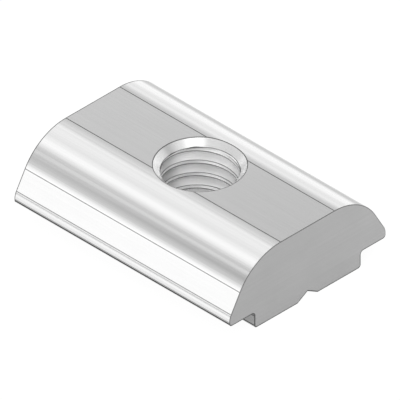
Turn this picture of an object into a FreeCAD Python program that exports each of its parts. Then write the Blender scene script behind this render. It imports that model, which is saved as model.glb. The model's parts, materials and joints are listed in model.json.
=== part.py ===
"""T slot nut with an M5 thread, for a profile slot with an 8 mm opening.

It is one piece of steel: a drawn bar with a rounded back, cut to length, drilled,
countersunk at both mouths of the hole and tapped. The nut lies on its tongue.
+X runs along the nut, +Y across it and +Z up through the hole. The origin is on
the hole's axis, in the plane under the tongue. Sizes are in millimetres and degrees.
"""
import FreeCAD
import Part

import math
import os

# The bar that the nut is cut from
LENGTH = 16.0
HEIGHT = 4.6
FLANGE_WIDTH = 11.6

# The rounded back: a flat crown, two round shoulders and two straight flanks
FLANK_ANGLE = 60.0
SHOULDER_RADIUS = 3.5

# The upright cheeks at the outer ends of the flanges
CHEEK_HEIGHT = 0.52
CHEEK_RADIUS = 0.9
FLANGE_CORNER_RADIUS = 0.2

# The tongue that stands in the slot's opening
TONGUE_WIDTH = 7.9
TONGUE_HEIGHT = 1.0
TONGUE_CORNER_RADIUS = 0.2
ROOT_RADIUS = 0.2

# The centring groove along the middle of the tongue
GROOVE_WIDTH = 1.5
GROOVE_ANGLE = 120.0

# The tapped hole: the drill leaves the thread's core, and each mouth is countersunk
THREAD_DIAMETER = 5.0
THREAD_PITCH = 0.8
COUNTERSINK_DEPTH = 0.4
COUNTERSINK_ANGLE = 90.0

# How far a cutter starts outside the face that it enters
RUN_IN = 1.0

# The rounding of a corner that stays sharp
SHARP = 0.0

# The most of a side that the roundings at its two ends may take up
ROUNDED_SHARE = 0.98


def half_tangent(angle):
    """Return the tangent of half an angle."""
    return math.tan(math.radians(angle) / 2)


def section_corners():
    """Return the corners of the bar's section as (y, z, rounding), clockwise from the right shoulder."""
    side = FLANGE_WIDTH / 2
    cheek_top = TONGUE_HEIGHT + CHEEK_HEIGHT
    flank_run = (HEIGHT - cheek_top) / math.tan(math.radians(FLANK_ANGLE))
    tongue_side = TONGUE_WIDTH / 2
    groove_side = GROOVE_WIDTH / 2
    groove_depth = groove_side / half_tangent(GROOVE_ANGLE)
    right = [
        (side - flank_run, HEIGHT, SHOULDER_RADIUS),
        (side, cheek_top, CHEEK_RADIUS),
        (side, TONGUE_HEIGHT, FLANGE_CORNER_RADIUS),
        (tongue_side, TONGUE_HEIGHT, ROOT_RADIUS),
        (tongue_side, 0.0, TONGUE_CORNER_RADIUS),
        (groove_side, 0.0, SHARP),
    ]
    groove_bottom = (0.0, groove_depth, SHARP)
    left = [(-y, z, rounding) for y, z, rounding in reversed(right)]
    return right + [groove_bottom] + left


def rounding_reaches(points, radii):
    """Return how far from its corner each rounding meets the sides, within the room they give."""
    count = len(points)
    wanted = []
    for i in range(count):
        before = points[i] - points[i - 1]
        after = points[(i + 1) % count] - points[i]
        wanted.append(radii[i] * math.tan(before.getAngle(after) / 2))
    fit = []
    for i in range(count):
        following = (i + 1) % count
        room = ROUNDED_SHARE * (points[following] - points[i]).Length
        both = wanted[i] + wanted[following]
        fit.append(min(1.0, room / both) if both > 0 else 1.0)
    return [wanted[i] * min(fit[i - 1], fit[i]) for i in range(count)]


def unit(vector):
    """Return the vector at a length of one."""
    return vector / vector.Length


def rounded_corner(before, corner, after, reach):
    """Return the start, middle and end of the arc that rounds a corner."""
    back = unit(before - corner)
    ahead = unit(after - corner)
    half_opening = back.getAngle(ahead) / 2
    radius = reach * math.tan(half_opening)
    middle_distance = reach / math.cos(half_opening) - radius
    middle = corner + unit(back + ahead) * middle_distance
    return corner + back * reach, middle, corner + ahead * reach


def rounded_outline(corners):
    """Return the closed wire through the corners, in the plane across the X axis."""
    points = [FreeCAD.Vector(0, y, z) for y, z, rounding in corners]
    reaches = rounding_reaches(points, [rounding for y, z, rounding in corners])
    count = len(points)
    arcs = []
    for i in range(count):
        following = (i + 1) % count
        arcs.append(rounded_corner(points[i - 1], points[i], points[following], reaches[i]))
    edges = []
    for i in range(count):
        start, middle, end = arcs[i]
        if reaches[i] > 0:
            edges.append(Part.Arc(start, middle, end).toShape())
        next_start = arcs[(i + 1) % count][0]
        edges.append(Part.LineSegment(end, next_start).toShape())
    return Part.Wire(edges)


def bar():
    """Return the drawn bar, cut to length, with the middle of its length at the origin."""
    section = Part.Face(rounded_outline(section_corners()))
    section.translate(FreeCAD.Vector(-LENGTH / 2, 0, 0))
    return section.extrude(FreeCAD.Vector(LENGTH, 0, 0))


def countersink(mouth, outward):
    """Return the pointed cutter that opens the hole's mouth at this height."""
    slope = half_tangent(COUNTERSINK_ANGLE)
    core_radius = (THREAD_DIAMETER - THREAD_PITCH) / 2
    radius = core_radius + (COUNTERSINK_DEPTH + RUN_IN) * slope
    base = FreeCAD.Vector(0, 0, mouth + outward * RUN_IN)
    return Part.makeCone(radius, 0, radius / slope, base, FreeCAD.Vector(0, 0, -outward))


def hole():
    """Return the cutter of the whole hole: the core drill and the two countersinks."""
    core_radius = (THREAD_DIAMETER - THREAD_PITCH) / 2
    base = FreeCAD.Vector(0, 0, -RUN_IN)
    drill = Part.makeCylinder(core_radius, HEIGHT + 2 * RUN_IN, base)
    return drill.fuse([countersink(HEIGHT, 1), countersink(0.0, -1)])


def t_slot_nut():
    """Return the finished nut."""
    return bar().cut(hole())


def main():
    """Write the nut's solid and print what was made."""
    os.makedirs("parts", exist_ok=True)
    nut = t_slot_nut()
    nut.exportStep("parts/t_slot_nut.step")
    box = nut.BoundBox
    print(f"t_slot_nut: {len(nut.Solids)} solid, valid {nut.isValid()}, {nut.Volume:.2f} mm3")
    print(f"overall {box.XLength:.3f} x {box.YLength:.3f} x {box.ZLength:.3f} mm")


main()
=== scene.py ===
# %% [markdown]
# A T slot nut, lesson by lesson
#
# The nut is a short piece of drawn steel bar. It has a rounded back, a tongue below that
# stands in a profile's slot, and a threaded hole through its middle. The solid model of it
# is finished and measured, but its hole is plain and its surfaces have no finish. Here the
# same nut is built as a mesh with its real thread and edges, and gets its metal. We take
# the overall sizes from the solid, so that the two can never drift apart.

import json
import math

import bmesh
import bpy
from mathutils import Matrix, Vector


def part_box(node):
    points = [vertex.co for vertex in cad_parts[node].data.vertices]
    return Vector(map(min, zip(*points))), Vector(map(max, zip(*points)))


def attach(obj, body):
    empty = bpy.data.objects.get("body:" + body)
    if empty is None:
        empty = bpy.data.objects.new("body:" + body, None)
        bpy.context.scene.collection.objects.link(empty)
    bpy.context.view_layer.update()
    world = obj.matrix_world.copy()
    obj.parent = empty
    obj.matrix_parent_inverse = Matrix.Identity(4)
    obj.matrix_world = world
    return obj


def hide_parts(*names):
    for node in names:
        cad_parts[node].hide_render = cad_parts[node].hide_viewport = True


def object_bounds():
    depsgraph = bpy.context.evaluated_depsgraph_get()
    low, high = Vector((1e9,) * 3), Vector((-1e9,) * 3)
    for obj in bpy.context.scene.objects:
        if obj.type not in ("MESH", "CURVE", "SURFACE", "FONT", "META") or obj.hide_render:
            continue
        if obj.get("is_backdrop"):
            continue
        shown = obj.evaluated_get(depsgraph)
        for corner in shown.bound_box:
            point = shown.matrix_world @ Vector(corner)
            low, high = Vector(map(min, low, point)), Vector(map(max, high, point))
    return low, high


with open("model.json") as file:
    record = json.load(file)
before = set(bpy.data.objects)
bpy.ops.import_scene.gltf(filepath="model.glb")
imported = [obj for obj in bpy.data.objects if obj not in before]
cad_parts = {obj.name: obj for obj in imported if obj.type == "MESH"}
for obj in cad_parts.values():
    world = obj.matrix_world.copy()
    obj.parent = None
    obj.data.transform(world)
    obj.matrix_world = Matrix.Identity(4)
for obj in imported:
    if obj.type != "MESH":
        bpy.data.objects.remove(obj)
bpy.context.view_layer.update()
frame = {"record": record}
MM = 0.001
NUT = "t_slot_nut"
nut_low, nut_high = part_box(NUT)
LENGTH, FLANGE_WIDTH, HEIGHT = nut_high - nut_low
print(f"solid nut: {LENGTH / MM:.2f} x {FLANGE_WIDTH / MM:.2f} x {HEIGHT / MM:.2f} mm")

# %% [markdown]
# The record of the solid also says where things fasten to the nut. The threaded hole tells
# us its core radius and how long its straight wall is, and so how deep each countersink
# goes. The bearing faces tell us how high the tongue is.

# %% Read the hole and the tongue from the record
mounts = {mount["name"]: mount for mount in frame["record"]["mounts"]}
CORE_RADIUS = mounts["thread"]["dims"]["r_mm"] * MM
COUNTERSINK_DEPTH = (HEIGHT - mounts["thread"]["dims"]["length_mm"] * MM) / 2
TONGUE_HEIGHT = mounts["bearing_face_left"]["pos_m"][2]
print(f"core {2 * CORE_RADIUS / MM:.2f} mm, countersinks {COUNTERSINK_DEPTH / MM:.2f} mm deep")

# %% [markdown]
# A drawn bar is one outline, pulled through a die. Its corners are easy to list as if they
# were sharp, each with the radius that rounds it. That is how a toolmaker dimensions the
# die too, so a rounding can change and its neighbours follow. An outline traced point by
# point would have to be traced again. The list runs clockwise round the section, seen from
# the end that faces +X. Each rounding also has a finish: the small one at the foot of each
# cheek gets the dark finish of the edges, with painted shade on it, and the others stay
# bright.

# %% Sizes of the section
FLANK_ANGLE = math.radians(60)
SHOULDER_RADIUS = 3.5 * MM
CHEEK_HEIGHT = 0.52 * MM
CHEEK_RADIUS = 0.9 * MM
CORNER_RADIUS = 0.2 * MM
TONGUE_WIDTH = 7.9 * MM
GROOVE_WIDTH = 1.5 * MM
GROOVE_ANGLE = math.radians(120)
SHARP = 0.0
DRAWN, SAWN, COUNTERSUNK, TAPPED, EDGE = range(5)


def section_corners():
    """Return the section's corners as (y, z, rounding, finish of the rounding)."""
    side = FLANGE_WIDTH / 2
    cheek_top = TONGUE_HEIGHT + CHEEK_HEIGHT
    shoulder = side - (HEIGHT - cheek_top) / math.tan(FLANK_ANGLE)
    groove_depth = GROOVE_WIDTH / 2 / math.tan(GROOVE_ANGLE / 2)
    right = [
        (shoulder, HEIGHT, SHOULDER_RADIUS, DRAWN),
        (side, cheek_top, CHEEK_RADIUS, DRAWN),
        # The foot of each cheek gets the dark edge finish, with painted shade.
        (side, TONGUE_HEIGHT, CORNER_RADIUS, EDGE),
        (TONGUE_WIDTH / 2, TONGUE_HEIGHT, CORNER_RADIUS, DRAWN),
        (TONGUE_WIDTH / 2, 0.0, CORNER_RADIUS, DRAWN),
        (GROOVE_WIDTH / 2, 0.0, SHARP, DRAWN),
    ]
    left = [(-y, z, rounding, finish) for y, z, rounding, finish in reversed(right)]
    return right + [(0.0, groove_depth, SHARP, DRAWN)] + left


print(f"{len(section_corners())} corners round the section")

# %% [markdown]
# Metal shows every flat facet in its reflections, so a rounding needs many short steps.
# One and a half degrees a step is so fine that the bands of light on the back stay smooth.
# The back also carries fine witness lines where the die leaves a flat and starts a curve.
# They are as narrow as a hair, and are part of the outline: a thin strip of their own on
# each side of the place where a curve begins or ends. A bevel modifier would round the
# corners too, but it would not leave us these strips.

# %% Round the corners
DEGREES_PER_STEP = 1.5
WITNESS_WIDTH = 0.055 * MM


def rounded_corner(before, corner, after, rounding, finish):
    """Return the points of one rounded corner as (point, finish of the strip that follows)."""
    if rounding == SHARP:
        return [(corner, DRAWN)]
    back = (before - corner).normalized()
    ahead = (after - corner).normalized()
    half_opening = back.angle(ahead) / 2
    reach = rounding / math.tan(half_opening)
    centre = corner + (back + ahead).normalized() * rounding / math.sin(half_opening)
    start = corner + back * reach - centre
    turn = math.pi - 2 * half_opening
    side = -1 if back.cross(ahead) > 0 else 1
    witness = min(WITNESS_WIDTH / 2 / rounding, turn / 4)
    steps = max(2, math.ceil(math.degrees(turn) / DEGREES_PER_STEP))
    angles = [witness + (turn - 2 * witness) * i / steps for i in range(steps + 1)]
    points = [(corner + back * (reach + WITNESS_WIDTH / 2), EDGE)]
    points.append((centre + start, EDGE))
    for angle in angles:
        points.append((centre + turned(start, side * angle), finish))
    points[-1] = (points[-1][0], EDGE)
    points.append((centre + turned(start, side * turn), EDGE))
    points.append((corner + ahead * (reach + WITNESS_WIDTH / 2), DRAWN))
    return points


def turned(arm, angle):
    """Return a flat vector turned about the origin."""
    cosine, sine = math.cos(angle), math.sin(angle)
    return Vector((arm.x * cosine - arm.y * sine, arm.x * sine + arm.y * cosine))


def section_outline():
    """Return the rounded outline as a list of (point, finish of the strip that follows)."""
    corners = [(Vector((y, z)), *rest) for y, z, *rest in section_corners()]
    outline = []
    for i, (corner, rounding, finish) in enumerate(corners):
        before = corners[i - 1][0]
        after = corners[(i + 1) % len(corners)][0]
        outline += rounded_corner(before, corner, after, rounding, finish)
    return outline


outline = section_outline()
print(f"{len(outline)} points round the section")

# %% [markdown]
# The saw leaves a sharp end, and tumbling then takes the sharpness off. We give each end a
# tiny chamfer: the last ring of points moves in by an equal distance on every side. One
# more ring, further in, only marks how far the rubbed rim reaches over the sawn face. It
# reaches further along the tongue and under the flanges, where the slot rubs. The mesh
# between two rings is one strip for each step of the outline. Extruding the outline would
# also give the bar, but then the chamfer and the rim would need tools of their own.

# %% Build the bar
EDGE_BREAK = 0.015 * MM
RUBBED_RIM = 0.03 * MM
SLOT_RIM = 0.055 * MM


def inset(points, amounts):
    """Return the closed outline moved inwards, by its own amount at each point."""
    moved = []
    for i, (point, amount) in enumerate(zip(points, amounts)):
        into = (point - points[i - 1]).normalized()
        out = (points[(i + 1) % len(points)] - point).normalized()
        left_in = Vector((into.y, -into.x))
        left_out = Vector((out.y, -out.x))
        moved.append(point + (left_in + left_out) * amount / (1 + left_in.dot(left_out)))
    return moved


def build_bar():
    """Return the bar as a mesh object, with the finish of each face as its material number."""
    points = [point for point, finish in outline]
    slot_edge = TONGUE_HEIGHT + CORNER_RADIUS / 2
    rims = [SLOT_RIM if point.y < slot_edge else RUBBED_RIM for point in points]
    chamfered = inset(points, [EDGE_BREAK] * len(points))
    dark_lines = inset(points, [EDGE_BREAK + rim for rim in rims])
    end = LENGTH / 2
    half = [(end - EDGE_BREAK, points), (end, chamfered), (end, dark_lines)]
    drawn_row = len(half) - 1
    rings = [(-x, ring) for x, ring in reversed(half)] + half
    mesh = bmesh.new()
    grid = [[mesh.verts.new((x, p.x, p.y)) for p in ring] for x, ring in rings]
    for row, (near, far) in enumerate(zip(grid, grid[1:])):
        for i in range(len(points)):
            following = (i + 1) % len(points)
            face = mesh.faces.new((near[i], near[following], far[following], far[i]))
            face.material_index = outline[i][1] if row == drawn_row else EDGE
    for ring in (grid[0], grid[-1]):
        mesh.faces.new(ring).material_index = SAWN
    return finished_object("bar", mesh)


def finished_object(name, mesh):
    """Turn a bmesh into an object in the scene, with all its faces pointing outwards."""
    bmesh.ops.recalc_face_normals(mesh, faces=mesh.faces)
    data = bpy.data.meshes.new(name)
    mesh.to_mesh(data)
    mesh.free()
    made = bpy.data.objects.new(name, data)
    bpy.context.scene.collection.objects.link(made)
    return made


bar = build_bar()
print(f"bar: {len(bar.data.polygons)} faces")

# %% [markdown]
# The hole is drilled and countersunk before it is tapped. A turned tool cuts a shape that
# is one outline spun round its axis, so one helper that spins a list of radius and height
# does for the drill and for every other round tool. Spinning keeps the rim a true circle,
# and the cut finds by itself where the cone meets the curved shoulders. A hair-thin strip
# of each cone, along its inner edge, is marked as rubbed.

# %% Spin a tool, and make the drill with its two countersinks
ROUND_STEPS = 180
RUN_IN = 0.5 * MM
LAND = 0.025 * MM


def spun_tool(name, profile, finishes):
    """Return the solid that a profile of (radius, height) sweeps when it spins about Z."""
    mesh = bmesh.new()
    columns = []
    for step in range(ROUND_STEPS):
        angle = math.tau * step / ROUND_STEPS
        cosine, sine = math.cos(angle), math.sin(angle)
        columns.append([mesh.verts.new((r * cosine, r * sine, z)) for r, z in profile])
    for step in range(ROUND_STEPS):
        near = columns[step]
        far = columns[(step + 1) % ROUND_STEPS]
        for i, finish in enumerate(finishes):
            mesh.faces.new((near[i], far[i], far[i + 1], near[i + 1])).material_index = finish
    mesh.faces.new([column[0] for column in reversed(columns)])
    mesh.faces.new([column[-1] for column in columns])
    return finished_object(name, mesh)


def drill():
    """Return the drill and both countersinks as one tool."""
    lower = [
        (CORE_RADIUS + COUNTERSINK_DEPTH + RUN_IN, -RUN_IN),
        (CORE_RADIUS + LAND, COUNTERSINK_DEPTH - LAND),
        (CORE_RADIUS, COUNTERSINK_DEPTH),
        (CORE_RADIUS, COUNTERSINK_DEPTH + LAND),
    ]
    upper = [(radius, HEIGHT - z) for radius, z in reversed(lower)]
    finishes = [COUNTERSUNK, EDGE, TAPPED, TAPPED, TAPPED, EDGE, COUNTERSUNK]
    return spun_tool("drill", lower + upper, finishes)


drill_tool = drill()
print(f"drill: {len(drill_tool.data.polygons)} faces")

# %% [markdown]
# A tap cuts one long groove that winds up the wall. For an M5 thread the groove climbs
# 0.8 mm in each turn, and its sides stand 30 degrees off level. Modelling the groove as a
# solid and cutting it from the wall gives true crests, flanks and roots from every side,
# which a bump map could not do at the rim. The thread is right-handed: seen from above it
# rises as it turns to the left. One crest is placed by its height at one angle, and the
# others follow from the pitch. A small chamfer on both edges of the crest is what a tap
# leaves when it has cut a few hundred holes. The groove's solid begins a little inside the
# wall, so that the cut never has to split two faces that lie on each other.
#
# The groove has to fade out before it gets to a countersink, so that the cone keeps its
# clean inner edge. A barrel trims it: its ends slope 30 degrees off level, as the sides of
# the thread do, and beside each cone it leaves 0.12 mm of the wall plain.

# %% Make the tap
PITCH = 0.8 * MM
MAJOR_RADIUS = 2.5 * MM
ROOT_FLAT = PITCH / 8
FLANK_SLOPE = math.tan(math.radians(30))
CREST_HEIGHT = 3.265 * MM
CREST_ANGLE = math.radians(135)
TURN_STEPS = 144
CREST_BREAK = 0.022 * MM
INSIDE = 0.04 * MM
CLEAR = 0.12 * MM
PLAIN_WALL = 0.12 * MM


def groove_profile():
    """Return the groove's cross-section as (radius, height above its middle)."""
    root_half = ROOT_FLAT / 2
    lip = CORE_RADIUS + CREST_BREAK
    lip_half = root_half + (MAJOR_RADIUS - lip) * FLANK_SLOPE
    inner = CORE_RADIUS - INSIDE
    inner_half = lip_half + (lip - inner) * (1 + FLANK_SLOPE)
    upper = [(inner, inner_half), (lip, lip_half), (MAJOR_RADIUS, root_half)]
    lower = [(radius, -height) for radius, height in reversed(upper)]
    return upper + lower


def tap():
    """Return the groove of the thread as a solid that winds through the whole nut."""
    profile = groove_profile()
    finishes = [EDGE, TAPPED, TAPPED, TAPPED, EDGE, TAPPED]
    middle = CREST_HEIGHT + PITCH / 2
    first = math.floor(-(middle + PITCH) / PITCH * TURN_STEPS)
    last = math.ceil((HEIGHT + PITCH - middle) / PITCH * TURN_STEPS)
    mesh = bmesh.new()
    sections = []
    for step in range(first, last + 1):
        angle = CREST_ANGLE + math.tau * step / TURN_STEPS
        rise = middle + PITCH * step / TURN_STEPS
        cosine, sine = math.cos(angle), math.sin(angle)
        sections.append([mesh.verts.new((r * cosine, r * sine, z + rise)) for r, z in profile])
    for near, far in zip(sections, sections[1:]):
        for i, finish in enumerate(finishes):
            following = (i + 1) % len(profile)
            corners = (near[i], far[i], far[following], near[following])
            mesh.faces.new(corners).material_index = finish
    mesh.faces.new(sections[0])
    mesh.faces.new(list(reversed(sections[-1])))
    return finished_object("tap", mesh)


def barrel():
    """Return the solid that keeps the groove away from the two countersinks."""
    wide = MAJOR_RADIUS + CLEAR
    bottom = COUNTERSINK_DEPTH + PLAIN_WALL
    top = HEIGHT - bottom
    narrow = CORE_RADIUS - 2 * CLEAR
    profile = [
        (narrow, bottom - 2 * CLEAR * FLANK_SLOPE),
        (wide, bottom + (wide - CORE_RADIUS) * FLANK_SLOPE),
        (wide, top - (wide - CORE_RADIUS) * FLANK_SLOPE),
        (narrow, top + 2 * CLEAR * FLANK_SLOPE),
    ]
    return spun_tool("barrel", profile, [TAPPED, TAPPED, TAPPED])


tap_tool = tap()
barrel_tool = barrel()
print(f"tap: {len(tap_tool.data.polygons)} faces")

# %% [markdown]
# Now the cuts are made, in the order of the workshop: trim the tap's groove, drill, tap.
# The exact solver is slower than the fast one, but it closes the mesh even where a helix
# grazes a cone. There it can leave two points on top of each other, and the next cut would
# stumble over them, so each cut ends by merging what lies within a tenth of a micron. Each
# face keeps the finish number of the tool that cut it. The tools are then thrown away. Each
# cut prints the volume, which should come out a little under the solid's.

# %% Cut the hole and its thread
MERGE_DISTANCE = 1e-7


def merge_doubled_points(data):
    """Merge doubled points of a mesh; return its volume and how many edges are open."""
    mesh = bmesh.new()
    mesh.from_mesh(data)
    bmesh.ops.remove_doubles(mesh, verts=mesh.verts, dist=MERGE_DISTANCE)
    bmesh.ops.dissolve_degenerate(mesh, edges=mesh.edges, dist=MERGE_DISTANCE)
    volume = mesh.calc_volume(signed=True)
    open_edges = sum(not edge.is_manifold for edge in mesh.edges)
    mesh.to_mesh(data)
    mesh.free()
    return volume, open_edges


def cut(target, tool, operation):
    """Apply one Boolean to the target's mesh and delete the tool."""
    modifier = target.modifiers.new(operation, "BOOLEAN")
    modifier.operation = operation
    modifier.solver = "EXACT"
    modifier.object = tool
    graph = bpy.context.evaluated_depsgraph_get()
    result = bpy.data.meshes.new_from_object(target.evaluated_get(graph))
    target.modifiers.clear()
    target.data = result
    bpy.data.objects.remove(tool)
    volume, open_edges = merge_doubled_points(result)
    print(f"{target.name}: {volume / MM ** 3:.1f} mm3, {open_edges} open edges")


def add_finish_slots(*objects):
    """Give every object the same empty list of finishes, so that a cut keeps the numbers."""
    for made in objects:
        for _ in range(EDGE + 1):
            made.data.materials.append(None)


add_finish_slots(bar, drill_tool, tap_tool, barrel_tool)
cut(tap_tool, barrel_tool, "INTERSECT")
cut(bar, drill_tool, "DIFFERENCE")
cut(bar, tap_tool, "DIFFERENCE")

# %% [markdown]
# Every edge that turns by more than 25 degrees is now marked sharp, and all faces are
# shaded smooth: the back's fine steps melt into a curve, while the rim, the thread and the
# ends keep their crisp lines.

# %% Shade the mesh
SHARP_FROM = math.radians(25)
bar.data.shade_smooth()
bar.data.set_sharp_from_angle(angle=SHARP_FROM)
print(f"nut: {len(bar.data.polygons)} faces")

# %% [markdown]
# The mesh now stands for the solid. It rides on the nut's only body.

# %% Hand the piece to the frame
bar.name = "tapped_nut"
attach(bar, "root")
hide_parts(NUT)
print(f"{bar.name} replaces {NUT}")

# %% [markdown]
# Materials are sums over the surface, such as "a little rougher where the noise is high".
# Written with nodes alone they get long, so we wrap a socket in a small class that knows
# how to add, multiply and compare, and let Python's own operators place the Math nodes.
# Every other node comes from one method: its kind, its settings, and what goes into it.

# %% Two helpers for shader nodes
class Amount:
    """A number that the shader works out at each point of a surface."""

    def __init__(self, shader, source):
        self.shader = shader
        self.source = source

    def math(self, operation, first, second=0.0):
        """Return what one Math node makes of two values."""
        sockets = {0: first, 1: second}
        return self.shader.node("Math", {"operation": operation}, sockets)

    def __add__(self, other):
        return self.math("ADD", self, other)

    def __sub__(self, other):
        return self.math("SUBTRACT", self, other)

    def __rsub__(self, other):
        return self.math("SUBTRACT", other, self)

    def __mul__(self, other):
        return self.math("MULTIPLY", self, other)

    def __truediv__(self, other):
        return self.math("DIVIDE", self, other)

    def __pow__(self, other):
        return self.math("POWER", self, other)

    def __lt__(self, other):
        return self.math("LESS_THAN", self, other)

    def __gt__(self, other):
        return self.math("GREATER_THAN", self, other)

    def __abs__(self):
        return self.math("ABSOLUTE", self)

    def or_more(self, other):
        """Return the larger of the two."""
        return self.math("MAXIMUM", self, other)

    __radd__ = __add__
    __rmul__ = __mul__


class Shader:
    """The node tree of a material or of the world."""

    def __init__(self, owner):
        owner.use_nodes = True
        self.tree = owner.node_tree
        self.tree.nodes.clear()

    def node(self, kind, settings, sockets, output=0):
        """Add a node, set it up, feed its sockets and return one of its outputs."""
        made = self.tree.nodes.new("ShaderNode" + kind)
        for name, value in settings.items():
            setattr(made, name, value)
        for name, value in sockets.items():
            if isinstance(value, Amount):
                self.tree.links.new(value.source, made.inputs[name])
            else:
                made.inputs[name].default_value = value
        return Amount(self, made.outputs[output]) if made.outputs else made


print("shader helpers ready")

# %% [markdown]
# All finishes are worked out from the place on the nut, in millimetres. A pattern then has
# the same scale on every face, where a picture wrapped round the nut would first need an
# unwrapped mesh. Two helpers make soft patches. One makes a stripe that is full at its
# middle and fades to nothing on both sides, at its reach. The other adds up such stripes
# by the turn round the hole, in degrees that start at -X and grow towards -Y. Lengths that
# only a shader uses are plain millimetres, so they are written without MM.
#
# Each finish ends in one metal shader, with a grey, a roughness, and the height of its
# fine marks as a bump. Seen almost edge on, zinc and steel mirror a little less than at
# other angles, just before they turn into a full mirror. The specular tint of a metal sets
# how deep that dip is.

# %% Place on the nut, and the metal that every finish ends in
GRAZING_TINT = (0.76, 0.76, 0.76, 1.0)


def place_on_nut(shader):
    """Return the x, y and z of the surface point in millimetres."""
    place = shader.node("TexCoord", {}, {}, "Object")
    axes = []
    for axis in "XYZ":
        axes.append(shader.node("SeparateXYZ", {}, {"Vector": place}, axis) / MM)
    return axes


def noise_at(shader, x, y, z, detail=2.0):
    """Return smooth noise, about half, that changes over one unit of x, y and z."""
    place = shader.node("CombineXYZ", {}, {"X": x, "Y": y, "Z": z})
    return shader.node("TexNoise", {}, {"Vector": place, "Scale": 1.0, "Detail": detail}, "Fac")


def fade(shader, value, middle, reach):
    """Return 1 where the value is at its middle, softly down to 0 at this reach from it."""
    settings = {"interpolation_type": "SMOOTHSTEP"}
    sockets = {"Value": abs(value - middle), "From Min": reach, "From Max": 0.0}
    return shader.node("MapRange", settings, sockets)


def round_hole(shader, x, y, sectors):
    """Return the sum of soft sectors round the hole, each (degrees from -X, reach, amount)."""
    turn = y.math("ARCTAN2", 0 - y, 0 - x) * math.degrees(1)
    total = 0.0
    for middle, reach, amount in sectors:
        total = total + amount * fade(shader, turn, middle, reach)
    return total


def steel(shader, grey, roughness, height, bump_distance, metallic=1.0):
    """End a finish in bright metal of this grey, roughness and height of fine marks."""
    tint = shader.node("CombineColor", {}, {"Red": grey, "Green": grey, "Blue": grey})
    bump_sockets = {"Height": height, "Distance": bump_distance, "Strength": 1.0}
    normal = shader.node("Bump", {}, bump_sockets)
    sockets = {"Base Color": tint, "Roughness": roughness, "Normal": normal}
    sockets |= {"Metallic": metallic, "Specular Tint": GRAZING_TINT}
    metal = shader.node("BsdfPrincipled", {}, sockets)
    shader.node("OutputMaterial", {}, {"Surface": metal})


print("steel ready")

# %% [markdown]
# The back and the tongue came out of the die. Steel that is drawn shows fine straight
# lines in the direction it was pulled, here along X. Noise that is stretched nearly three
# hundred times in that direction gives such lines. A second, larger noise makes some
# stretches a little rougher, as handling and the thin zinc do. A few soft stripes of painted
# reflection run along the back, each listed as the y of its middle, its reach, and how much
# paler or, below zero, darker it is. The crown and one band of the near shoulder get painted
# shade that darkens towards +X.
#
# The tongue's underside is a little rougher than the back and a little darker with painted
# shade, and the tongue's sides and the bearing faces beside it are dark with painted shade. A
# thin band of painted shade runs along the foot of each cheek. Where the drawn faces meet the
# countersinks and the two ends, a hair-thin line is rubbed, and END_SHIFT makes it a little
# wider at the -X end.

# %% Finish of the drawn faces
BRIGHT = 0.81
DARK_LINE_GREY = 0.16
DRAWN_ROUGHNESS = 0.13
DIE_LINE_DEPTH = 0.0015 * MM
RIM_LINE = 0.026
END_LINE = 0.03
END_SHIFT = 0.015
# A thin band of painted shade along the foot of each cheek: its amount and its heights.
FOOT_SHADE = 0.45
FOOT_SHADE_FROM = 1.22
FOOT_SHADE_TO = 1.25
SLACK = 0.001
# Painted shade that darkens the crown towards +X.
CROWN_PAINTED_SHADE = 0.005
# Painted shade on the tongue's sides and on the bearing faces beside it.
RECESS_PAINTED_SHADE = 0.36
# Painted shade that darkens this band of the near shoulder towards +X.
BAND_MIDDLE = -4.58
BAND_REACH = 0.26
BAND_PAINTED_SHADE = 0.008
# Soft stripes of painted reflection along the back: y of the middle, reach, amount.
PAINTED_STRIPES = (
    (3.92, 0.44, -0.20), (3.42, 0.26, 0.17), (2.49, 0.20, 0.05), (-2.49, 0.09, -0.05),
    (-2.69, 0.12, 0.055), (-4.31, 0.09, 0.055), (-4.44, 0.09, -0.06), (-4.80, 0.07, -0.05),
    (-4.99, 0.12, 0.07), (-5.715, 0.035, -0.08), (-5.765, 0.026, 0.12),
)
FLANK_RUN = (HEIGHT - TONGUE_HEIGHT - CHEEK_HEIGHT) / math.tan(FLANK_ANGLE)
HALF_CROWN = FLANGE_WIDTH / 2 - FLANK_RUN - SHOULDER_RADIUS * math.tan(FLANK_ANGLE / 2)


def rim_line(x, y, z):
    """Return 1 along the outer edges of both countersinks, and 0 elsewhere."""
    radius = (x * x + y * y) ** 0.5
    upper_cone = radius - z + (HEIGHT - COUNTERSINK_DEPTH - CORE_RADIUS) / MM
    beside_crown = (abs(y) - HALF_CROWN / MM).or_more(0.0)
    back = HEIGHT / MM - beside_crown * beside_crown / (2 * SHOULDER_RADIUS / MM)
    upper = abs(upper_cone) + abs(back - z) < RIM_LINE
    lower_cone = radius + z - (COUNTERSINK_DEPTH + CORE_RADIUS) / MM
    into_groove = (GROOVE_WIDTH / 2 / MM - abs(y)).or_more(0.0)
    underside = into_groove / math.tan(GROOVE_ANGLE / 2)
    lower = abs(lower_cone) + abs(underside - z) < RIM_LINE
    return upper.or_more(lower)


def end_line(x):
    """Return 1 on the rubbed rims at the two ends, and 0 elsewhere."""
    return abs(x - END_SHIFT) > (LENGTH / 2 - EDGE_BREAK) / MM - END_LINE


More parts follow.
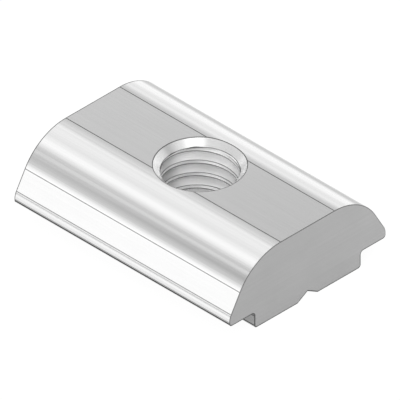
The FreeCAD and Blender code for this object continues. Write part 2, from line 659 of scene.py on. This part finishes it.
def drawn_finish(shader):
    """Bright drawn steel with lines along the bar."""
    x, y, z = place_on_nut(shader)
    lines = noise_at(shader, x * 0.05, y * 14.0, z * 14.0, 3.0)
    clouds = noise_at(shader, x * 0.4, y * 0.9, z * 0.9)
    # A thin band of painted shade along the foot of each cheek, mixed in with the dark lines.
    foot_shade = FOOT_SHADE * (z > FOOT_SHADE_FROM) * (z < FOOT_SHADE_TO)
    dark_lines = rim_line(x, y, z).or_more(end_line(x)).or_more(foot_shade)
    under = z < TONGUE_HEIGHT / MM + SLACK
    recess = under * (abs(y) > (TONGUE_WIDTH / 2 - CORNER_RADIUS) / MM)
    crown = z > HEIGHT / MM - SLACK
    # Painted shade darkens the crown towards +X.
    bright = BRIGHT - 0.04 + 0.08 * lines - CROWN_PAINTED_SHADE * x * crown
    # Painted shade: a little on the whole tongue, deep on its sides and on the bearing faces.
    bright = bright - 0.06 * under - RECESS_PAINTED_SHADE * recess
    # Painted shade darkens one band of the near shoulder towards +X.
    bright = bright - BAND_PAINTED_SHADE * x * fade(shader, y, BAND_MIDDLE, BAND_REACH)
    # Soft stripes of painted reflection, paler and darker, along the back.
    for middle, reach, amount in PAINTED_STRIPES:
        bright = bright + amount * fade(shader, y, middle, reach) * (1 - under)
    grey = bright * (1 - dark_lines) + DARK_LINE_GREY * dark_lines
    roughness = DRAWN_ROUGHNESS + 0.05 * lines + 0.04 * clouds + 0.2 * dark_lines + 0.1 * under
    steel(shader, grey, roughness, lines, DIE_LINE_DEPTH)


# The stripes counted here are painted reflection.
print(f"{len(PAINTED_STRIPES)} stripes from the die")

# %% [markdown]
# The ends were sawn off, so they are duller than the back; they are also darker, partly
# from the saw and partly with painted shade, as for a face lit from the side. A band saw
# leaves fine, nearly straight marks across the cut, all in one direction, with the odd
# deeper one. The same noise makes them, stretched along Y this time. The ends also get a
# painted light that makes them a touch paler towards +Y.

# %% Finish of the sawn ends
SAWN_AND_SHADED_GREY = 0.387
SAWN_ROUGHNESS = 0.38
SAW_MARK_DEPTH = 0.005 * MM


def sawn_finish(shader):
    """Dull sawn steel with marks straight across the cut."""
    x, y, z = place_on_nut(shader)
    marks = noise_at(shader, x, y * 0.15, z * 9.0, 3.0)
    clouds = noise_at(shader, x, y * 0.5, z * 0.7)
    # The grey is partly painted shade, and its rise towards +Y is painted light.
    grey = SAWN_AND_SHADED_GREY + 0.08 * marks + 0.04 * clouds + 0.002 * y
    roughness = SAWN_ROUGHNESS + 0.08 * marks
    steel(shader, grey, roughness, marks, SAW_MARK_DEPTH)


print(f"sawn ends of grey {SAWN_AND_SHADED_GREY}")

# %% [markdown]
# A countersink turns, so its fine marks are rings. They depend on the height alone, since
# the cone has one radius at each height. A fresh cut is finely torn, so it mirrors only a
# part of the light and scatters the rest, which a lower metallic value does. Some sectors
# are torn more than others and carry painted light that makes them paler; one is torn less
# and carries painted shade. They are listed as the degrees of their middle, their reach and
# their amount. The tap also bruised the inner edges of the cones when it went through. These
# sectors have the width of the bruise in millimetres as their amount.

# %% Finish of the countersinks
CONE_METALLIC = 0.72
CONE_ROUGHNESS = 0.19
RING_DEPTH = 0.0006 * MM
PAINTED_AND_TORN_SECTORS = (
    (56.0, 27.0, 0.78), (-149.0, 22.0, 0.33), (3.0, 20.0, -0.20), (-117.0, 10.0, 0.15),
)
BRUISES = (
    (-138.0, 28.0, 0.055), (-37.0, 20.0, 0.045), (0.0, 12.0, 0.035), (28.0, 16.0, 0.025),
)


def bruised(shader, x, y, z):
    """Return 1 near the inner edges of the countersinks, where the tap has bruised them."""
    from_edge = abs(abs(z - HEIGHT / MM / 2) - (HEIGHT / 2 - COUNTERSINK_DEPTH) / MM)
    return from_edge < round_hole(shader, x, y, BRUISES)


def countersunk_finish(shader):
    """Turned steel with rings round the hole."""
    x, y, z = place_on_nut(shader)
    rings = noise_at(shader, x * 0.1, y * 0.1, z * 30.0)
    dark_lines = rim_line(x, y, z).or_more(bruised(shader, x, y, z))
    # Sectors of painted light and painted shade, which also change how much the cone mirrors.
    painted_and_torn = round_hole(shader, x, y, PAINTED_AND_TORN_SECTORS)
    grey = (BRIGHT - 0.08 + 0.04 * rings + 0.25 * painted_and_torn) * (1 - dark_lines) + DARK_LINE_GREY * dark_lines
    roughness = CONE_ROUGHNESS + 0.06 * rings + 0.2 * dark_lines
    steel(shader, grey, roughness, rings, RING_DEPTH, metallic=CONE_METALLIC - painted_and_torn)


# These sectors carry painted light and painted shade as well as a torn finish.
print(f"{len(PAINTED_AND_TORN_SECTORS)} torn sectors, {len(BRUISES)} bruises")

# %% [markdown]
# The tap leaves marks that follow the thread, which climbs so slowly that level lines are
# the same to the eye. A freshly cut thread is finely torn too, and scatters part of the
# light like chalk does; the lands on top of the crests scatter the most. Painted light makes
# the roots the brightest, against the shade deep in the groove. Flanks and lands have
# sectors of painted light and painted shade, and so has the plain lip of wall above the
# thread. The deep turns, and the flanks near the top, get a little painted light too.
#
# The lower edge of each crest is rubbed. That line lies on the land, where the mesh has no
# strip for it, so we find it by how far a point is from the middle of the nearest crest.

# %% Finish of the thread
THREAD_GREY = 0.78
THREAD_METALLIC = 0.5
THREAD_ROUGHNESS = 0.42
TAP_MARK_DEPTH = 0.001 * MM
CREST_LINE = 0.06 * MM
CREST_SLACK = 0.005
CREST_HALF = PITCH / 2 - ROOT_FLAT / 2 - (MAJOR_RADIUS - CORE_RADIUS) * FLANK_SLOPE
# Sectors of painted light and painted shade round the hole.
FLANK_PAINTED_SECTORS = ((12.0, 38.0, -0.27), (-52.0, 24.0, -0.08), (-115.0, 30.0, -0.18))
LAND_PAINTED_SECTORS = ((-68.0, 26.0, 0.17), (-30.0, 28.0, -0.15))
LIP_PAINTED_SECTORS = ((-105.0, 23.0, 0.45), (-58.0, 26.0, -0.25), (-22.0, 18.0, -0.12))
HIGH_FROM = 2.9
DEEP_FROM = 2.75


def crest(x, y, z):
    """Return two masks: the whole crest of the thread, and the line along its lower edge."""
    turns = y.math("ARCTAN2", y, x) / math.tau - CREST_ANGLE / math.tau
    above = z - turns * (PITCH / MM) + (PITCH / 2 - CREST_HEIGHT) / MM
    above = above.math("FLOORED_MODULO", above, PITCH / MM) - PITCH / 2 / MM
    low = above < (CREST_LINE - CREST_HALF) / MM
    on_crest = (x * x + y * y) ** 0.5 < CORE_RADIUS / MM + CREST_SLACK
    return on_crest, low * on_crest


def tapped_finish(shader):
    """Cut thread with marks along its turns."""
    x, y, z = place_on_nut(shader)
    marks = noise_at(shader, x * 0.3, y * 0.3, z * 18.0)
    land, crest_line = crest(x, y, z)
    dark_lines = crest_line.or_more(bruised(shader, x, y, z))
    # Painted light on the roots, the deep turns and the high flanks; painted light and shade in
    # sectors.
    depth = (x * x + y * y) ** 0.5 - CORE_RADIUS / MM
    deep = (DEEP_FROM - z).or_more(0.0)
    high = (z - HIGH_FROM).or_more(0.0)
    flank = round_hole(shader, x, y, FLANK_PAINTED_SECTORS) + 0.12 * deep + 0.08 * high
    shade = flank * (1 - land)
    shade = shade + (round_hole(shader, x, y, LAND_PAINTED_SECTORS) + 0.20 * deep) * land
    plain_lip = z > (HEIGHT - COUNTERSINK_DEPTH - PLAIN_WALL) / MM
    shade = shade + round_hole(shader, x, y, LIP_PAINTED_SECTORS) * plain_lip
    shade = THREAD_GREY + 0.06 * marks + 0.30 * depth + shade
    grey = shade * (1 - dark_lines) + DARK_LINE_GREY * dark_lines
    roughness = THREAD_ROUGHNESS + 0.08 * marks
    metallic = THREAD_METALLIC - 0.35 * land
    steel(shader, grey, roughness, marks, TAP_MARK_DEPTH, metallic)


print(f"crest lands {2 * CREST_HALF / MM:.2f} mm high")

# %% [markdown]
# Edges and witness lines look darker than the faces beside them, because the rubbed and
# folded metal there scatters light in all directions. Handling polishes them lighter on
# the sides and at the two ends, and most of all on the lowest lip of each cheek. Below the
# foot of the cheeks they get painted shade and are darker. One finish does for all, because
# the place on the nut tells which edge it is.

# %% Finish of the edges and witness lines
EDGE_ROUGHNESS = 0.40
WEAR_DEPTH = 0.001 * MM
SIDE_TOP = 4.0
SIDE_FROM = 4.0
LIP_TOP = 1.135
LIP_FROM = 5.0
BELOW_CONE = 0.02


def edge_finish(shader):
    """Rubbed steel on the edges and witness lines, with painted shade below the cheeks."""
    x, y, z = place_on_nut(shader)
    wear = noise_at(shader, x * 1.5, y * 1.5, z * 1.5)
    end = end_line(x)
    in_hole = (x * x + y * y) ** 0.5 < MAJOR_RADIUS / MM
    in_thread = in_hole * (z < (HEIGHT - COUNTERSINK_DEPTH - LAND) / MM - BELOW_CONE)
    side = (z < SIDE_TOP) * (z > FOOT_SHADE_TO) * (abs(y) > SIDE_FROM) * (1 - end)
    under = (z < FOOT_SHADE_TO) * (1 - in_hole)
    lip = (z < LIP_TOP) * (abs(y) > LIP_FROM) * (1 - end)
    # Below the foot of the cheeks the edges get painted shade.
    toned = 0.25 * side + 0.08 * end + 0.08 * in_thread - 0.11 * under + 0.45 * lip
    grey = DARK_LINE_GREY - 0.03 + 0.06 * wear + toned
    roughness = EDGE_ROUGHNESS + 0.10 * wear
    steel(shader, grey, roughness, wear, WEAR_DEPTH)


# Edges are lighter or darker by their place, with painted shade below the cheeks.
print("edges worn by their place on the nut")

# %% [markdown]
# Each face of the nut already has the number of its finish, from the bar or from the tool
# that cut it, so nothing has to be selected by hand. The five materials only go into the
# slots of those numbers.

# %% Put the finishes on the nut
def material(name, finish):
    """Return a new material with this finish."""
    made = bpy.data.materials.new(name)
    finish(Shader(made))
    return made


finishes = {
    DRAWN: material("drawn_steel", drawn_finish),
    SAWN: material("sawn_steel", sawn_finish),
    COUNTERSUNK: material("countersunk_steel", countersunk_finish),
    TAPPED: material("tapped_steel", tapped_finish),
    EDGE: material("rubbed_edges", edge_finish),
}
for number, made in finishes.items():
    bar.data.materials[number] = made
print("finishes:", ", ".join(made.name for made in finishes.values()))

# %% [markdown]
# The nut lies on a large pale table. For the camera and in reflections the table is mostly
# plain white, so the picture has a white ground, and the rest of it is real white paint
# that takes the nut's soft shadow. More light would whiten the table too, but it would also
# wash out the nut. Seen from below the table is clear, which lets us look at the underside.

# %% Table
TABLE_SIZE = 2.0
TABLE_DROP = 0.01 * MM
WHITE_TO_CAMERA = 0.92
WHITE_IN_METAL = 0.6
WHITE_STRENGTH = 1.03
WHITE = (1.0, 1.0, 1.0, 1.0)
WHITE_PAINT = (0.9, 0.9, 0.9, 1.0)


def table_finish(shader):
    """White ground for camera and reflections, which still takes a soft shadow."""
    to_camera = shader.node("LightPath", {}, {}, "Is Camera Ray") * WHITE_TO_CAMERA
    glossy = shader.node("LightPath", {}, {}, "Is Glossy Ray")
    clear_rays = shader.node("LightPath", {}, {}, "Is Transmission Ray")
    share = to_camera + glossy.or_more(clear_rays) * WHITE_IN_METAL
    paint = shader.node("BsdfDiffuse", {}, {"Color": WHITE_PAINT})
    white = shader.node("Emission", {}, {"Color": WHITE, "Strength": WHITE_STRENGTH})
    top = shader.node("MixShader", {}, {0: share, 1: paint, 2: white})
    clear = shader.node("BsdfTransparent", {}, {})
    below = shader.node("NewGeometry", {}, {}, "Backfacing")
    surface = shader.node("MixShader", {}, {0: below, 1: top, 2: clear})
    shader.node("OutputMaterial", {}, {"Surface": surface})


def build_table():
    """Return the table as one square just under the nut."""
    mesh = bmesh.new()
    bmesh.ops.create_grid(mesh, x_segments=1, y_segments=1, size=TABLE_SIZE / 2)
    data = bpy.data.meshes.new("table")
    mesh.to_mesh(data)
    mesh.free()
    made = bpy.data.objects.new("table", data)
    made.location.z = -TABLE_DROP
    made.data.materials.append(material("table_white", table_finish))
    bpy.context.scene.collection.objects.link(made)
    return made


table = build_table()
table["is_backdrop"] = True
print(f"table {TABLE_SIZE:.1f} m wide")

# %% [markdown]
# Metal shows its surroundings more than its own colour, so the studio matters as much as
# the finish. This one is a pale tent with long strips of soft light that run along the
# nut, as a photographer hangs them over a polished bar: on the rounded back each strip
# draws one clean line, and the shape can be read from them. Area lamps could do that too,
# but in the world's own shader the strips are endless, soft and free of noise.
#
# A strip is listed as its middle, its reach and its glow. The middle is how far one has to
# turn up from the level on the +Y side, so 90 degrees is straight overhead and 180 is the
# level on the near side. The last strip takes light away: it is the gap between the near
# window and the table. One round lamp hangs high up, towards +X and a little towards -Y.
# Towards +X the tent gets darker, because that end is open to the room. Below the table top
# there is only pale floor, a little darker straight down.

# %% Studio
TENT = 0.545
OPEN_END_LOSS = 0.22
FLOOR_LIGHT = 1.08
FLOOR_LOSS = 0.5
FLOOR_LOSS_FROM = 0.3
SPOT_AXIS = (0.50, -0.28, 0.81)
SPOT_RIM = math.radians(12)
SPOT_REACH = math.radians(26)
SPOT_GLOW = 0.75
STRIPS = {
    "far window": (7.0, 22.0, 0.81),
    "far lamp": (29.0, 15.0, 0.50),
    "ceiling": (77.0, 44.0, 0.515),
    "main lamp": (109.0, 19.5, 0.585),
    "narrow lamp": (131.0, 6.0, 0.40),
    "near window": (168.0, 27.0, 0.745),
    "dark gap": (178.0, 6.0, -0.6),
}


def spot(shader, along, across, up):
    """Return how bright the round lamp is: 1 inside its rim, softly down to 0 outside."""
    axis = Vector(SPOT_AXIS).normalized()
    cosine = along * axis.x + across * axis.y + up * axis.z
    settings = {"interpolation_type": "SMOOTHSTEP"}
    sockets = {"Value": cosine, "From Min": math.cos(SPOT_REACH), "From Max": math.cos(SPOT_RIM)}
    return shader.node("MapRange", settings, sockets)


def studio(shader):
    """A pale tent with strips of soft light along the nut, over a pale floor."""
    direction = shader.node("TexCoord", {}, {}, "Generated")
    along = shader.node("SeparateXYZ", {}, {"Vector": direction}, "X")
    across = shader.node("SeparateXYZ", {}, {"Vector": direction}, "Y")
    up = shader.node("SeparateXYZ", {}, {"Vector": direction}, "Z")
    turn = up.math("ARCTAN2", up, across) * math.degrees(1)
    light = TENT
    for middle, reach, glow in STRIPS.values():
        light = light + glow * fade(shader, turn, middle, reach)
    light = light * (1 - OPEN_END_LOSS * along.or_more(0.0))
    light = light + SPOT_GLOW * spot(shader, along, across, up)
    floor = FLOOR_LIGHT - FLOOR_LOSS * (0 - up - FLOOR_LOSS_FROM).or_more(0.0)
    above = up > 0.0
    light = light * above + floor * (1 - above)
    tent = shader.node("Background", {}, {"Color": WHITE, "Strength": light})
    shader.node("OutputWorld", {}, {"Surface": tent})


world = bpy.data.worlds.new("studio")
studio(Shader(world))
bpy.context.scene.world = world
bpy.context.scene.view_settings.view_transform = "Standard"
print("strips along the nut:", ", ".join(STRIPS))

# %% [markdown]
# Little of the tent's light finds its way into the thread. One soft lamp beside the camera
# helps there. It is kept out of the metal's mirror images, as polarising film on the lamp
# would do, so the back shows no glare of it from any side.

# %% Lamp beside the camera
LAMP_STRENGTH = 1.4
LAMP_ANGLE = math.radians(30)
towards_lamp = Vector((0.6, -1.3, 1.0)).normalized()
lamp_data = bpy.data.lights.new("lamp", "SUN")
lamp_data.energy = LAMP_STRENGTH
lamp_data.angle = LAMP_ANGLE
lamp = bpy.data.objects.new("lamp", lamp_data)
lamp.visible_glossy = False
lamp.rotation_euler = towards_lamp.to_track_quat("Z", "Y").to_euler()
bpy.context.scene.collection.objects.link(lamp)
print(f"lamp of {LAMP_STRENGTH} W/m2")

# %% [markdown]
# The picture is a parallel view from above, turned by 45 degrees, so that the three axes
# look equally long. An orthographic camera does that. It looks at the middle of the nut,
# from a direction with equal parts of +X, -Y and +Z.

# %% Camera
VIEW_WIDTH = 21.02 * MM
CAMERA_DISTANCE = 100 * MM
NEAREST_SEEN = 1 * MM
middle = Vector((0.0, 0.0, HEIGHT / 2))
towards_camera = Vector((1.0, -1.0, 1.0)).normalized()
camera_data = bpy.data.cameras.new("camera")
camera_data.type = "ORTHO"
camera_data.ortho_scale = VIEW_WIDTH
camera_data.clip_start = NEAREST_SEEN
camera = bpy.data.objects.new("camera", camera_data)
camera.location = middle + towards_camera * CAMERA_DISTANCE
camera.rotation_euler = towards_camera.to_track_quat("Z", "Y").to_euler()
bpy.context.scene.collection.objects.link(camera)
bpy.context.scene.camera = camera
print(f"view is {VIEW_WIDTH / MM:.2f} mm wide")

# %% [markdown]
# Last, we print the dressed nut's box. The solid's sizes were printed at the start.

# %% Print the dressed nut's box, and finish
visual_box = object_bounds()
for low, high in zip(*visual_box):
    print(f"{low / MM:.3f} to {high / MM:.3f} mm")
